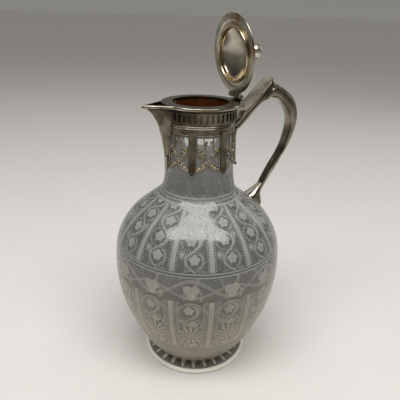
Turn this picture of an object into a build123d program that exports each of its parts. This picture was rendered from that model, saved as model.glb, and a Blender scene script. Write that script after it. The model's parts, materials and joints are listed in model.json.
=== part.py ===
from build123d import *
from math import atan2, cos, pi, radians, sin, sqrt
import os

# Claret jug: an engraved glass body on a cut foot, with a silver collar, spout,
# handle and hinged domed lid. Millimetres, +Z up, origin at the centre of the
# foot's underside. The handle is on +X and the spout on -X.

# ---------------------------------------------------------------- glass sizes
foot_radius = 44.6
foot_edge_height = 3.8
foot_ground_inset = 1.4
foot_crown_height = 5.8
foot_joint_radius = 30.4
foot_flute_count = 36
foot_flute_radius = 2.6
foot_flute_depth = 0.7
foot_flute_end_radius = 40.5
foot_flute_tilt = 3.2
star_ray_count = 16
star_ray_depth = 0.4
star_inner_radius = 5.0
star_outer_radius = 25.0

belly_radius = 67.6
belly_height = 92.0
lower_body_radius = 47.6
lower_body_height = 22.5
mid_body_radius = 60.3
mid_body_height = 50.0
shoulder_radius = 62.1
shoulder_rise = 28.0
upper_shoulder_radius = 41.9
upper_shoulder_rise = 22.0
neck_root_flare = 2.4
neck_root_rise = 13.0
neck_lower_flare = 0.5
neck_lower_rise = 11.0
body_wall = 2.8
base_thickness = 7.5
well_floor_radius = 24.3
wall_stations = [0.16, 0.26, 0.38, 0.5, 0.6, 0.68, 0.76, 0.82, 0.86, 0.9]
neck_wall = 3.6
neck_stub_height = 6.2

# --------------------------------------------------------------- collar sizes
collar_radius = 26.2
collar_wall = 0.7
skirt_spread = 1.2
skirt_rise = 7.0
skirt_height = 27.8
skirt_neck_gap = 0.15
cement_thickness = 0.7
cement_cap = 1.6
sleeve_height = 16.7

flange_overhang = 3.6
flange_thickness = 2.5
flange_edge_round = 1.1
mouth_inset = 4.3
liner_inset = 0.4
liner_wall = 0.6
liner_length = 18.5

band_thickness = 0.8
band_height = 7.8
band_gap = 1.5
slot_count = 42
slot_width = 1.7
slot_height = 5.6
wire_radius = 0.55
upper_wire_rise = 5.4
lower_wire_rise = 4.0

bay_count = 7
pilaster_width = 6.0
pilaster_foot_width = 5.2
pilaster_thickness = 0.7
pilaster_overlap = 1.8
pilaster_foot_gap = 0.6
pilaster_bead_radius = 1.25
pilaster_bead_drop = 1.0
pilaster_bead_sink = 0.75
side_window_offset = 6.1
side_window_width = 3.6
top_window_height = 25.2
top_window_tall = 3.6
leaf_window_height = 20.6
leaf_window_tall = 3.2
stem_window_height = 19.4
stem_window_width = 5.4
stem_window_tall = 12.0
scroll_window_height = 9.6
scroll_window_offset = 4.7
scroll_window_width = 6.4
scroll_window_tall = 6.2
hem_arch_offset = 4.6
hem_arch_width = 7.4
hem_arch_tall = 4.0
gap_round_share = 0.3

# ---------------------------------------------------------------- spout sizes
spout_rim_reach = 17.1
spout_rim_half_width = 12.1
spout_rim_root_inset = 2.6
spout_tip_round = 0.7
spout_wall = 0.9
spout_lip_reach = 18.0
spout_lip_half_width = 9.6
spout_beak_drop = 3.9
spout_beak_reach = 14.0
spout_beak_half_width = 6.9
spout_throat_drop = 8.6
spout_throat_reach = 10.9
spout_throat_half_width = 5.4
spout_waist_drop = 19.0
spout_waist_reach = 6.5
spout_waist_half_width = 3.9
spout_foot_rise = 8.0
spout_foot_reach = 3.3
spout_foot_half_width = 2.2
spout_root_radius = 18.3
spout_opening_inset = 2.4
port_half_angle = 13.0
port_height = 8.5
keel_width = 1.5
keel_proud = 0.7
keel_top_rise = 1.2
drop_width = 4.2
drop_thickness = 1.5
drop_foot_thickness = 0.9
drop_hang = 2.0

# ------------------------------------------------------------ lid, hinge sizes
lid_inset = 1.3
lid_thickness = 1.0
lid_edge_round = 0.45
lid_seat_gap = 0.1
lid_step_width = 3.5
lid_step_depth = 0.4
bezel_gap = 0.3
bezel_height = 1.1
bezel_wall = 2.1
dome_rim_width = 1.1
dome_height = 9.6
dome_wall = 0.9
dome_rim_wall = 1.44
collet_radius = 2.7
collet_height = 1.8
collet_sink = 0.4
collet_edge = 0.3
ball_radius = 6.0
ball_neck_radius = 1.5
open_angle = 85.0

hinge_overhang = 0.7
hinge_rise = 2.35
knuckle_radius = 1.5
hinge_half_width = 8.0
middle_knuckle_half_width = 4.2
knuckle_gap = 0.2
hinge_clearance = 0.3
pin_radius = 0.8
pin_clearance = 0.05
pin_head_radius = 1.3
pin_head_thickness = 0.7
block_drop = 5.2
block_thickness = 4.0
block_overlap = 0.4
web_thickness = 1.8
leaf_thickness = 1.1
leaf_length = 8.0
apron_length = 3.1
apron_reach = 0.6

# --------------------------------------------------------------- handle sizes
bar_angle = 44.5
bar_rise = 1.8
bar_root_reach = 0.8
thumb_plate_length = 47.4
thumb_plate_width = 15.2
thumb_plate_thickness = 1.8
thumb_plate_round = 0.5
moulding_groove_width = 11.6
moulding_groove_depth = 2.3
moulding_lip_width = 13.2
moulding_lip_depth = 1.1
bar_depth = 1.9
bar_embed = 6.0
bar_straight_length = 25.0
bar_end_step = 3.0
loop_crown_reach = 45.4
loop_crown_rise = 24.4
loop_shoulder_reach = 55.8
loop_shoulder_rise = 17.4
loop_reach = 63.0
loop_middle_rise = 0.4
loop_waist_reach = 58.6
loop_waist_rise = -19.1
gap_centre_reach = 30.0
gap_centre_rise = -6.6
bar_end_depth = 11.0
crown_depth = 9.6
shoulder_depth = 9.8
middle_depth = 8.2
waist_depth = 6.4
arm_length = 30.0
arm_outer_depth = 2.8
arm_inner_depth = 2.3
arm_taper_rise = 55.0
arm_taper = 1.5
handle_width = 9.4
handle_outer_round = 1.3
peg_radius = 2.8
peg_length = 5.0
peg_sink = 3.0
socket_share = 0.735
socket_lift = 2.3
socket_lean = 33.0
socket_length = 13.5
socket_top_outer_depth = 2.4
socket_top_inner_depth = 1.8
socket_top_width = 6.6
socket_neck_along = 8.4
socket_neck_depth = 6.2
socket_neck_width = 8.0
socket_swell_along = 4.4
socket_swell_depth = 10.4
socket_swell_width = 10.6
socket_foot_along = 0.7
socket_foot_depth = 15.7
socket_foot_width = 13.0
socket_sink = 4.7
socket_sink_depth = 18.1
socket_sink_width = 14.0
socket_bend = 0.6
socket_round_share = 0.42
plaster_gap = 0.7
socket_bed = 0.04
bracket_hang = 18.1
bracket_width = 4.4
bracket_reach = 4.6
bracket_sink = 0.5


def at_handle(angle):
    """Rotation that brings a piece drawn on +X to its own angle round the jug."""
    return Rot(0, 0, angle)


def turned(*points):
    """Solid of revolution about Z from an outline of (radius, height) corners."""
    corners = [(radius, 0, height) for radius, height in points]
    return revolve(make_face(Polyline(*corners, close=True)), axis=Axis.Z, revolution_arc=360)


def ring(inner, outer, low, high):
    """Plain tube between two radii and two heights."""
    return turned((inner, low), (outer, low), (outer, high), (inner, high))


def plate_xz(wire_edges, width):
    """Solid from an outline in the XZ plane, of the given width across Y."""
    return extrude(make_face(wire_edges), amount=width / 2, dir=(0, 1, 0), both=True)


# ------------------------------------------------------- heights up the jug
shoulder_height = belly_height + shoulder_rise
upper_shoulder_height = shoulder_height + upper_shoulder_rise
neck_root_height = upper_shoulder_height + neck_root_rise
neck_lower_height = neck_root_height + neck_lower_rise
skirt_bottom_height = neck_lower_height + skirt_rise
skirt_top_height = skirt_bottom_height + skirt_height
neck_top_height = skirt_top_height + neck_stub_height
flange_bottom_height = skirt_top_height + sleeve_height
flange_top_height = flange_bottom_height + flange_thickness

# ------------------------------------------------------ radii from the collar
collar_inner = collar_radius - collar_wall
neck_top_radius = collar_inner - cement_thickness
skirt_bottom_radius = collar_radius + skirt_spread
skirt_slope = skirt_spread / skirt_height
flange_radius = collar_radius + flange_overhang
mouth_radius = collar_inner - mouth_inset
liner_radius = mouth_radius - liner_inset
bezel_radius = liner_radius - bezel_gap
dome_radius = bezel_radius + dome_rim_width
lid_step_radius = bezel_radius + lid_step_width
lid_radius = flange_radius - lid_inset
hinge_reach = flange_radius + hinge_overhang


def skirt_radius(height):
    """Outer radius of the tapering skirt at a height."""
    return collar_radius + skirt_slope * (skirt_top_height - height)


neck_seat_bottom = skirt_radius(skirt_bottom_height) - collar_wall - skirt_neck_gap
neck_seat_top = collar_inner - skirt_neck_gap
neck_lower_radius = neck_seat_bottom + neck_lower_flare
neck_root_radius = neck_seat_bottom + neck_root_flare
outer_curve = Spline(
    (foot_joint_radius, 0, foot_crown_height),
    (lower_body_radius, 0, lower_body_height),
    (mid_body_radius, 0, mid_body_height),
    (belly_radius, 0, belly_height),
    (shoulder_radius, 0, shoulder_height),
    (upper_shoulder_radius, 0, upper_shoulder_height),
    (neck_root_radius, 0, neck_root_height),
    (neck_lower_radius, 0, neck_lower_height),
    (neck_seat_bottom, 0, skirt_bottom_height),
)


def inner_point(share):
    """Point one wall thickness inside the outer curve, at a share of its length."""
    place = outer_curve @ share
    along = outer_curve % share
    return (place.X - body_wall * along.Z, 0, place.Z + body_wall * along.X)


bore_bottom = neck_seat_bottom - neck_wall
bore_top = liner_radius + liner_wall
inner_curve = Spline(
    (well_floor_radius, 0, base_thickness + foot_crown_height),
    *[inner_point(share) for share in wall_stations],
    (bore_bottom, 0, neck_lower_height),
    tangents=[(1, 0, 0.12), (-0.02, 0, 1)],
)
neck_points = [
    (neck_seat_bottom, 0, skirt_bottom_height),
    (neck_seat_top, 0, skirt_top_height),
    (neck_top_radius, 0, skirt_top_height),
    (neck_top_radius, 0, neck_top_height),
    (bore_top, 0, neck_top_height),
    (bore_top, 0, flange_top_height - flange_thickness - liner_length),
    (bore_bottom, 0, neck_lower_height),
]
body_outline = (
    outer_curve
    + Polyline(*neck_points)
    + inner_curve
    + Polyline(
        (well_floor_radius, 0, base_thickness + foot_crown_height),
        (0, 0, base_thickness + foot_crown_height),
        (0, 0, foot_crown_height),
        (foot_joint_radius, 0, foot_crown_height),
    )
)
glass_body = revolve(make_face(body_outline.edges()), axis=Axis.Z, revolution_arc=360)
body_core = revolve(
    make_face(
        outer_curve.edges()
        + Polyline(
            (neck_seat_bottom, 0, skirt_bottom_height),
            (0, 0, skirt_bottom_height),
            (0, 0, foot_crown_height),
            (foot_joint_radius, 0, foot_crown_height),
        ).edges()
    ),
    axis=Axis.Z,
    revolution_arc=360,
)


def make_foot():
    """Foot with a rounded edge, slice-cut flutes on top and a star cut below."""
    edge_centre = foot_edge_height / 2
    shoulder = foot_radius - edge_centre
    outline = (
        Line((0, 0, 0), (shoulder - foot_ground_inset, 0, 0))
        + Spline(
            (shoulder - foot_ground_inset, 0, 0),
            (foot_radius, 0, edge_centre),
            (shoulder - foot_ground_inset, 0, foot_edge_height),
            tangents=[(1, 0, 0.15), (-1, 0, 0.05)],
        )
        + Polyline(
            (shoulder - foot_ground_inset, 0, foot_edge_height),
            (foot_joint_radius, 0, foot_crown_height),
            (0, 0, foot_crown_height),
            (0, 0, 0),
        )
    )
    foot = revolve(make_face(outline.edges()), axis=Axis.Z, revolution_arc=360)
    run = foot_flute_end_radius - foot_joint_radius
    cutters = []
    for index in range(foot_flute_count):
        flute = Cylinder(foot_flute_radius, run, align=(Align.CENTER, Align.CENTER, Align.MIN))
        low_line = foot_crown_height - foot_flute_depth + foot_flute_radius
        flute = Pos(foot_joint_radius, 0, low_line) * Rot(0, 90 + foot_flute_tilt, 0) * flute
        cutters.append(at_handle(index * 360 / foot_flute_count) * flute)
    for index in range(star_ray_count):
        ray = Pos((star_inner_radius + star_outer_radius) / 2, 0, 0) * Rot(45, 0, 0) * Box(
            star_outer_radius - star_inner_radius, star_ray_depth * sqrt(2), star_ray_depth * sqrt(2)
        )
        cutters.append(at_handle((index + 0.5) * 360 / star_ray_count) * ray)
    return foot - cutters


glass_foot = make_foot()

# -------------------------------------------------------------------- collar
band_top_height = flange_bottom_height - band_gap
band_bottom_height = band_top_height - band_height
collar_sleeve = ring(collar_inner, collar_radius, skirt_top_height, flange_bottom_height)
fluted_band = ring(collar_radius, collar_radius + band_thickness, band_bottom_height, band_top_height)
liner_bottom_height = flange_bottom_height - liner_length
gilt_liner = ring(liner_radius, liner_radius + liner_wall, liner_bottom_height, flange_bottom_height)
neck_cement = turned(
    (neck_top_radius, skirt_top_height),
    (collar_inner, skirt_top_height),
    (collar_inner, neck_top_height + cement_cap),
    (bore_top, neck_top_height + cement_cap),
    (bore_top, neck_top_height),
    (neck_top_radius, neck_top_height),
)


def wire_ring(height):
    """Half-round moulding wire soldered round the sleeve."""
    section = ThreePointArc(
        (collar_radius, 0, height - wire_radius),
        (collar_radius + wire_radius, 0, height),
        (collar_radius, 0, height + wire_radius),
    ) + Line((collar_radius, 0, height + wire_radius), (collar_radius, 0, height - wire_radius))
    return revolve(make_face(section.edges()), axis=Axis.Z, revolution_arc=360)


upper_wire = wire_ring(skirt_top_height + upper_wire_rise)
lower_wire = wire_ring(skirt_top_height + lower_wire_rise)

# --------------------------------------------------------------------- spout
port_width = 2 * collar_radius * sin(radians(port_half_angle))
port_middle_height = flange_bottom_height - port_height / 2
port = Pos(-collar_radius, 0, port_middle_height) * Box(collar_radius, port_width, port_height)
drop_bottom_height = skirt_bottom_height - drop_hang
spout_foot_height = skirt_bottom_height + spout_foot_rise
collar_core = turned(
    (0, drop_bottom_height - 3 * drop_thickness),
    (skirt_radius(drop_bottom_height - 3 * drop_thickness), drop_bottom_height - 3 * drop_thickness),
    (collar_radius, skirt_top_height),
    (collar_radius, flange_bottom_height),
    (0, flange_bottom_height),
)


def spout_section(height, reach, half_width, wall=0.0):
    """Horizontal V of the spout at a height, drawn in by a wall for its hollow."""
    slope = half_width / reach
    nose_radius = collar_radius + reach - wall / sin(atan2(half_width, reach))
    blunt = nose_radius - spout_tip_round / slope
    root_half = (nose_radius - spout_root_radius) * slope
    corners = [
        (-spout_root_radius, -root_half),
        (-blunt, -spout_tip_round),
        (-blunt, spout_tip_round),
        (-spout_root_radius, root_half),
    ]
    return make_face(Polyline(*[(x, y, height) for x, y in corners], close=True))


spout_levels = [
    (flange_bottom_height, spout_lip_reach, spout_lip_half_width),
    (flange_bottom_height - spout_beak_drop, spout_beak_reach, spout_beak_half_width),
    (flange_bottom_height - spout_throat_drop, spout_throat_reach, spout_throat_half_width),
    (flange_bottom_height - spout_waist_drop, spout_waist_reach, spout_waist_half_width),
    (spout_foot_height, spout_foot_reach, spout_foot_half_width),
]
spout_outside = loft([spout_section(*level) for level in spout_levels])
spout_hollow = loft([spout_section(*level, wall=spout_wall) for level in spout_levels[:3]])
port_slab = Pos(0, 0, port_middle_height) * Box(4 * flange_radius, 4 * flange_radius, port_height)
spout_hollow = spout_hollow & port_slab
spout_shell = spout_outside - collar_core - spout_hollow

keel_height = skirt_top_height + keel_top_rise - spout_foot_height
keel_middle = Pos(-collar_radius - spout_waist_reach, 0, spout_foot_height + keel_height / 2)
keel_blade = keel_middle * Box(2 * spout_waist_reach, keel_width, keel_height)
spout_keel = (Pos(-keel_proud, 0, 0) * spout_outside) & keel_blade
spout_keel = spout_keel - spout_outside - collar_core

drop_height = spout_foot_height - drop_bottom_height
drop_blade = Pos(-collar_radius - 2 * drop_thickness, 0, drop_bottom_height + drop_height / 2) * Box(
    4 * drop_thickness, drop_width, drop_height
)
drop_sleeve = turned(
    (skirt_radius(drop_bottom_height), drop_bottom_height),
    (skirt_radius(drop_bottom_height) + drop_foot_thickness, drop_bottom_height),
    (skirt_radius(spout_foot_height) + drop_thickness, spout_foot_height),
    (skirt_radius(spout_foot_height), spout_foot_height),
)
spout_drop = drop_sleeve & drop_blade

collar_sleeve = collar_sleeve - port
gilt_liner = gilt_liner - port
fluted_band = fluted_band - spout_outside
slots = []
for index in range(slot_count):
    angle = (index + 0.5) * 360 / slot_count
    slot_middle = (band_bottom_height + band_top_height) / 2
    slot = Pos(collar_radius + band_thickness, 0, slot_middle) * Box(
        band_thickness * 2, slot_width, slot_height
    )
    slots.append(at_handle(angle) * slot)
fluted_band = fluted_band - slots
upper_wire = upper_wire - spout_outside
lower_wire = lower_wire - spout_outside

# --------------------------------------------------------------- pierced skirt
bay_angle = 360 / bay_count


def skirt_band(low, high, inward, outward):
    """Tapering tube that follows the skirt between two heights."""
    return turned(
        (skirt_radius(low) - inward, low),
        (skirt_radius(low) + outward, low),
        (skirt_radius(high) + outward, high),
        (skirt_radius(high) - inward, high),
    )


def bay_window(across, rise, width, tall):
    """Cutter for one opening of a bay, drawn on the +X side and cut outward."""
    place = Plane(origin=(0, across, skirt_bottom_height + rise), x_dir=(0, 1, 0), z_dir=(1, 0, 0))
    outline = place * RectangleRounded(width, tall, min(width, tall) * gap_round_share)
    return extrude(outline, amount=2 * skirt_bottom_radius)


def make_skirt():
    """Skirt whose bays are pierced between a frame, a forked stem and scrolls."""
    skirt = skirt_band(skirt_bottom_height, skirt_top_height, collar_wall, 0)
    cutters = []
    for bay in range(bay_count):
        holes = [bay_window(0, stem_window_height, stem_window_width, stem_window_tall)]
        for side in (-1, 1):
            across = side * side_window_offset
            holes.append(bay_window(across, top_window_height, side_window_width, top_window_tall))
            holes.append(bay_window(across, leaf_window_height, side_window_width, leaf_window_tall))
            across = side * scroll_window_offset
            holes.append(bay_window(across, scroll_window_height, scroll_window_width, scroll_window_tall))
            across = side * hem_arch_offset
            holes.append(bay_window(across, 0, hem_arch_width, hem_arch_tall))
        for hole in holes:
            cutters.append(at_handle((bay + 0.5) * bay_angle + 180) * hole)
    return skirt - cutters


pierced_skirt = make_skirt()
pilasters = {}
pilaster_bottom_height = skirt_bottom_height + pilaster_foot_gap
pilaster_top_height = skirt_top_height + pilaster_overlap
for index in range(1, bay_count):
    half_top = pilaster_width / 2
    half_foot = pilaster_foot_width / 2
    strap = skirt_band(pilaster_bottom_height, skirt_top_height, 0, pilaster_thickness)
    strap += ring(collar_radius, collar_radius + pilaster_thickness, skirt_top_height, pilaster_top_height)
    blade_outline = Plane.YZ * make_face(
        Polyline(
            (-half_foot, pilaster_bottom_height),
            (half_foot, pilaster_bottom_height),
            (half_top, pilaster_top_height),
            (-half_top, pilaster_top_height),
            close=True,
        )
    )
    strap = strap & extrude(blade_outline, amount=2 * skirt_bottom_radius)
    bead_height = pilaster_bottom_height - pilaster_bead_drop
    bead_reach = skirt_radius(bead_height) + pilaster_bead_radius - pilaster_bead_sink
    bead = Pos(bead_reach, 0, bead_height) * Sphere(pilaster_bead_radius)
    bead = bead - collar_core
    pilasters[f"pilaster_{index}"] = at_handle(180 + index * bay_angle) * (strap + bead)

# ----------------------------------------------------------------- rim flange
spout_tip_radius = flange_radius + spout_rim_reach
spout_rim_root = flange_radius - spout_rim_root_inset
tip_half_angle = atan2(spout_rim_half_width, spout_tip_radius - spout_rim_root)


def rim_outline(inset):
    """Round rim joined to the V of the spout, drawn in by an inset."""
    reach = spout_tip_radius - inset / sin(tip_half_angle)
    half = spout_rim_half_width - inset
    rim = Circle(flange_radius - inset)
    corners = [(0, -half), (-spout_rim_root, -half), (-reach, 0), (-spout_rim_root, half), (0, half)]
    return rim + make_face(Polyline(*corners, close=True))


rim_face = rim_outline(0)
tip_corner = rim_face.vertices().sort_by(Axis.X)[0]
rim_face = fillet(tip_corner, spout_tip_round)
rim_flange = extrude(Pos(0, 0, flange_bottom_height) * rim_face, amount=flange_thickness)
edge_loops = rim_flange.edges().group_by(Axis.Z)
rim_flange = fillet(edge_loops[0] + edge_loops[-1], flange_edge_round)
mouth_hole = Pos(0, 0, flange_bottom_height) * Cylinder(mouth_radius, 4 * flange_thickness)
opening_face = rim_outline(spout_opening_inset) - Circle(flange_radius)
spout_opening = extrude(Pos(0, 0, flange_bottom_height) * opening_face, amount=2 * flange_thickness)
rim_flange = rim_flange - mouth_hole - spout_opening

# ----------------------------------------------------------------- lid, closed
hinge_height = flange_top_height + hinge_rise
lid_underside = flange_top_height + lid_seat_gap
lid_top = lid_underside + lid_thickness
lid_opening = bezel_radius - bezel_wall
lid_plate = turned(
    (lid_opening, lid_underside),
    (bezel_radius, lid_underside),
    (bezel_radius, lid_underside + lid_step_depth),
    (lid_step_radius, lid_underside + lid_step_depth),
    (lid_step_radius, lid_underside),
    (lid_radius, lid_underside),
    (lid_radius, lid_top),
    (lid_opening, lid_top),
)
round_edges = lid_plate.edges().filter_by(GeomType.CIRCLE)
outer_rims = [edge for edge in round_edges if edge.radius > (lid_radius + lid_step_radius) / 2]
lid_plate = fillet(outer_rims, lid_edge_round)
lid_bezel = ring(bezel_radius - bezel_wall, bezel_radius, lid_underside - bezel_height, lid_underside)


def cap_arc(radius, height, base):
    """Arc of a spherical cap from its rim on the lid to its crown."""
    ball = (radius * radius + height * height) / (2 * height)
    half = radius / 2
    rise = sqrt(ball * ball - half * half) - (ball - height)
    return ThreePointArc((radius, 0, base), (half, 0, base + rise), (0, 0, base + height))


dome_outer = cap_arc(dome_radius, dome_height, lid_top)
dome_inner = cap_arc(dome_radius - dome_rim_wall, dome_height - dome_wall, lid_top)
dome_edges = (
    dome_outer
    + Line((0, 0, lid_top + dome_height), (0, 0, lid_top + dome_height - dome_wall))
    + dome_inner
    + Line((dome_radius - dome_rim_wall, 0, lid_top), (dome_radius, 0, lid_top))
)
lid_dome = revolve(make_face(dome_edges.edges()), axis=Axis.Z, revolution_arc=360)
lid_crown = lid_top + dome_height
finial_collet = turned(
    (0, lid_crown - collet_sink),
    (collet_radius, lid_crown - collet_sink),
    (collet_radius, lid_crown + collet_edge),
    (ball_neck_radius, lid_crown + collet_height),
    (0, lid_crown + collet_height),
)
finial_collet = finial_collet - lid_dome
ball_centre = lid_crown + collet_height + sqrt(ball_radius**2 - ball_neck_radius**2)
finial_ball = Pos(0, 0, ball_centre) * Sphere(ball_radius) - Pos(0, 0, lid_crown) * Cylinder(
    ball_radius, 2 * collet_height
)


def hinge_rod(radius, middle, length):
    """Round rod on the hinge axis, centred on a station along Y."""
    return Pos(hinge_reach, middle, hinge_height) * Rot(90, 0, 0) * Cylinder(radius, length)


pin_hole = hinge_rod(pin_radius + pin_clearance, 0, 4 * hinge_half_width)
fixed_hole = hinge_rod(pin_radius, 0, 4 * hinge_half_width)
moving_start = middle_knuckle_half_width + knuckle_gap
moving_width = hinge_half_width - moving_start
leaf_plate = Pos(hinge_reach - leaf_length / 2, 0, lid_top + leaf_thickness / 2) * Box(
    leaf_length, 2 * hinge_half_width, leaf_thickness
)
leaf_relief = hinge_rod(knuckle_radius + hinge_clearance, 0, 2 * moving_start)
apron = Pos(hinge_reach + apron_reach, 0, lid_underside) * Box(
    apron_length,
    2 * hinge_half_width,
    lid_thickness,
    align=(Align.MAX, Align.CENTER, Align.MIN),
)
lid_leaf = leaf_plate + apron - leaf_relief
for side in (-1, 1):
    lid_leaf = lid_leaf + hinge_rod(knuckle_radius, side * (moving_start + moving_width / 2), moving_width)
lid_leaf = lid_leaf - pin_hole - lid_plate

block_top = flange_top_height - knuckle_gap
block = Pos(flange_radius - block_overlap, 0, block_top - block_drop / 2) * Box(
    block_thickness,
    2 * hinge_half_width,
    block_drop,
    align=(Align.MIN, Align.CENTER, Align.CENTER),
)
block_back = flange_radius - block_overlap + block_thickness
web = Pos(block_back, 0, block_top) * Box(
    web_thickness,
    2 * middle_knuckle_half_width,
    hinge_height - block_top,
    align=(Align.MAX, Align.CENTER, Align.MIN),
)
hinge_block = block + web + hinge_rod(knuckle_radius, 0, 2 * middle_knuckle_half_width)
hinge_block = hinge_block - fixed_hole - rim_flange
pin_end = hinge_half_width + knuckle_gap
hinge_pin = hinge_rod(pin_radius, 0, 2 * pin_end)
for side in (-1, 1):
    head_middle = side * (pin_end + pin_head_thickness / 2)
    hinge_pin = hinge_pin + hinge_rod(pin_head_radius, head_middle, pin_head_thickness)

hinge_axis = Axis((hinge_reach, 0, hinge_height), (0, 1, 0))


def opened(piece):
    """The piece turned with the lid from its closed place to its open rest."""
    return piece.rotate(hinge_axis, open_angle)


# --------------------------------------------------------------------- handle
bar_plane = Plane(
    origin=(collar_radius + bar_root_reach, 0, skirt_top_height + bar_rise),
    x_dir=(cos(radians(bar_angle)), 0, sin(radians(bar_angle))),
    z_dir=(-sin(radians(bar_angle)), 0, cos(radians(bar_angle))),
)


def bar_layer(top, depth, width, length):
    """Flat round-ended layer of the rising bar, measured down from its top."""
    run = length - width / 2 + collar_radius
    blade = Pos(run / 2 - collar_radius, 0) * Rectangle(run, width)
    blade = blade + Pos(length - width / 2, 0) * Circle(width / 2)
    return extrude(bar_plane * Pos(0, 0, -top - depth) * blade, amount=depth)


thumb_plate = bar_layer(0, thumb_plate_thickness, thumb_plate_width, thumb_plate_length)
bar_up = Axis(bar_plane.origin, bar_plane.z_dir)
thumb_plate = fillet(thumb_plate.faces().sort_by(bar_up)[-1].edges(), thumb_plate_round)
lip_top = thumb_plate_thickness + moulding_groove_depth
end_step = (thumb_plate_width - moulding_lip_width) / 2
groove_length = thumb_plate_length - 2 * end_step
lip_length = thumb_plate_length - end_step
groove_layer = bar_layer(thumb_plate_thickness, moulding_groove_depth, moulding_groove_width, groove_length)
plate_moulding = groove_layer + bar_layer(lip_top, moulding_lip_depth, moulding_lip_width, lip_length)
bar_top = lip_top + moulding_lip_depth


def bar_point(along, down):
    """Point in the handle's plane, along the bar and down from its top."""
    place = bar_plane.origin + bar_plane.x_dir * along - bar_plane.z_dir * down
    return (place.X, 0, place.Z)


def round_long_edges(solid, place, radius):
    """Round the two edges that run along the handle beside a point of its outline."""
    sides = [Vertex(place.X, side * handle_width / 2, place.Z) for side in (-1, 1)]
    near = [edge for edge in solid.edges() for side in sides if edge.distance_to(side) < 0.01]
    return fillet(near, radius)


outer_start = bar_point(-bar_embed, bar_top)
outer_leave = bar_point(thumb_plate_length - bar_end_step, bar_top)
inner_start = bar_point(-bar_embed, bar_top + bar_depth)
inner_leave = bar_point(bar_straight_length, bar_top + bar_depth)
bar_way = (cos(radians(bar_angle)), 0, sin(radians(bar_angle)))
arm_way = (-sin(radians(socket_lean)), 0, -cos(radians(socket_lean)))
arm_across = (cos(radians(socket_lean)), 0, -sin(radians(socket_lean)))
seat_spot = outer_curve @ socket_share


def arm_point(along, across):
    """Point in the handle's plane, up the lower arm from its seat and across it."""
    x = seat_spot.X - arm_way[0] * along + arm_across[0] * across
    z = seat_spot.Z + socket_lift - arm_way[2] * along + arm_across[2] * across
    return (x, 0, z)


def loop_point(reach, rise):
    """Point in the handle's plane, out from the bar's root and up from it."""
    return (bar_plane.origin.X + reach, 0, bar_plane.origin.Z + rise)


gap_centre = Vector(*loop_point(gap_centre_reach, gap_centre_rise))


def gap_side(point, depth):
    """Point on the handle's inner face, a depth in from a point of its back."""
    inward = (gap_centre - Vector(*point)).normalized()
    place = Vector(*point) + inward * depth
    return (place.X, 0, place.Z)


crown = loop_point(loop_crown_reach, loop_crown_rise)
shoulder = loop_point(loop_shoulder_reach, loop_shoulder_rise)
middle = loop_point(loop_reach, loop_middle_rise)
waist = loop_point(loop_waist_reach, loop_waist_rise)
outer_loop = Spline(
    outer_leave,
    crown,
    shoulder,
    middle,
    waist,
    arm_point(socket_length + arm_length / 2, arm_outer_depth),
    arm_point(socket_length, socket_top_outer_depth),
    tangents=[bar_way, arm_way],
)
inner_loop = Spline(
    inner_leave,
    gap_side(outer_leave, bar_end_depth),
    gap_side(crown, crown_depth),
    gap_side(shoulder, shoulder_depth),
    gap_side(middle, middle_depth),
    gap_side(waist, waist_depth),
    arm_point(socket_length + arm_length / 2, -arm_inner_depth),
    arm_point(socket_length, -socket_top_inner_depth),
    tangents=[bar_way, arm_way],
)
loop_outline = (
    Line(outer_start, outer_leave)
    + outer_loop
    + Line(outer_loop @ 1, inner_loop @ 1)
    + inner_loop
    + Line(inner_leave, inner_start)
    + Line(inner_start, outer_start)
)
handle_loop = plate_xz(loop_outline.edges(), handle_width)
handle_loop = round_long_edges(handle_loop, outer_loop @ 0.5, handle_outer_round)
arm_end = Vector(*arm_point(0, 0))
taper_top = arm_end.Z + arm_taper_rise
for side in (-1, 1):
    corner = side * handle_width / 2
    narrow = corner - side * arm_taper
    wedge = Plane.YZ * make_face(
        Polyline((corner, taper_top), (narrow, arm_end.Z), (corner, arm_end.Z), close=True)
    )
    handle_loop = handle_loop - extrude(wedge, amount=2 * (collar_radius + loop_reach))
handle_loop = handle_loop - collar_core
plate_moulding = plate_moulding - collar_core
thumb_plate = thumb_plate - collar_core


def arm_section(along, shift, depth, width):
    """Rounded cross-section of the socket, square to the lower arm."""
    plane = Plane(origin=arm_point(along, shift), x_dir=arm_across, z_dir=arm_way)
    return plane * RectangleRounded(depth, width, socket_round_share * min(depth, width))


top_shift = (socket_top_outer_depth - socket_top_inner_depth) / 2
top_depth = socket_top_outer_depth + socket_top_inner_depth
handle_socket = loft(
    [
        arm_section(socket_length, top_shift, top_depth, socket_top_width),
        arm_section(socket_neck_along, -socket_bend, socket_neck_depth, socket_neck_width),
        arm_section(socket_swell_along, -socket_bend, socket_swell_depth, socket_swell_width),
        arm_section(socket_foot_along, 0, socket_foot_depth, socket_foot_width),
        arm_section(-socket_sink, 0, socket_sink_depth, socket_sink_width),
    ]
)
arm_axis_plane = Plane(origin=arm_point(-peg_sink, 0), x_dir=arm_across, z_dir=[-part for part in arm_way])
peg_run = peg_sink + peg_length
up = (Align.CENTER, Align.CENTER, Align.MIN)
peg_blank = arm_axis_plane * Cylinder(peg_radius, peg_run, align=up)
plaster_blank = arm_axis_plane * Cylinder(peg_radius + plaster_gap, peg_run + plaster_gap, align=up)
handle_peg = peg_blank - body_core
socket_plaster = plaster_blank - peg_blank - body_core
bedded_core = Pos(-arm_way[0] * socket_bed, 0, -arm_way[2] * socket_bed) * body_core
handle_socket = handle_socket - bedded_core - plaster_blank

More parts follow.
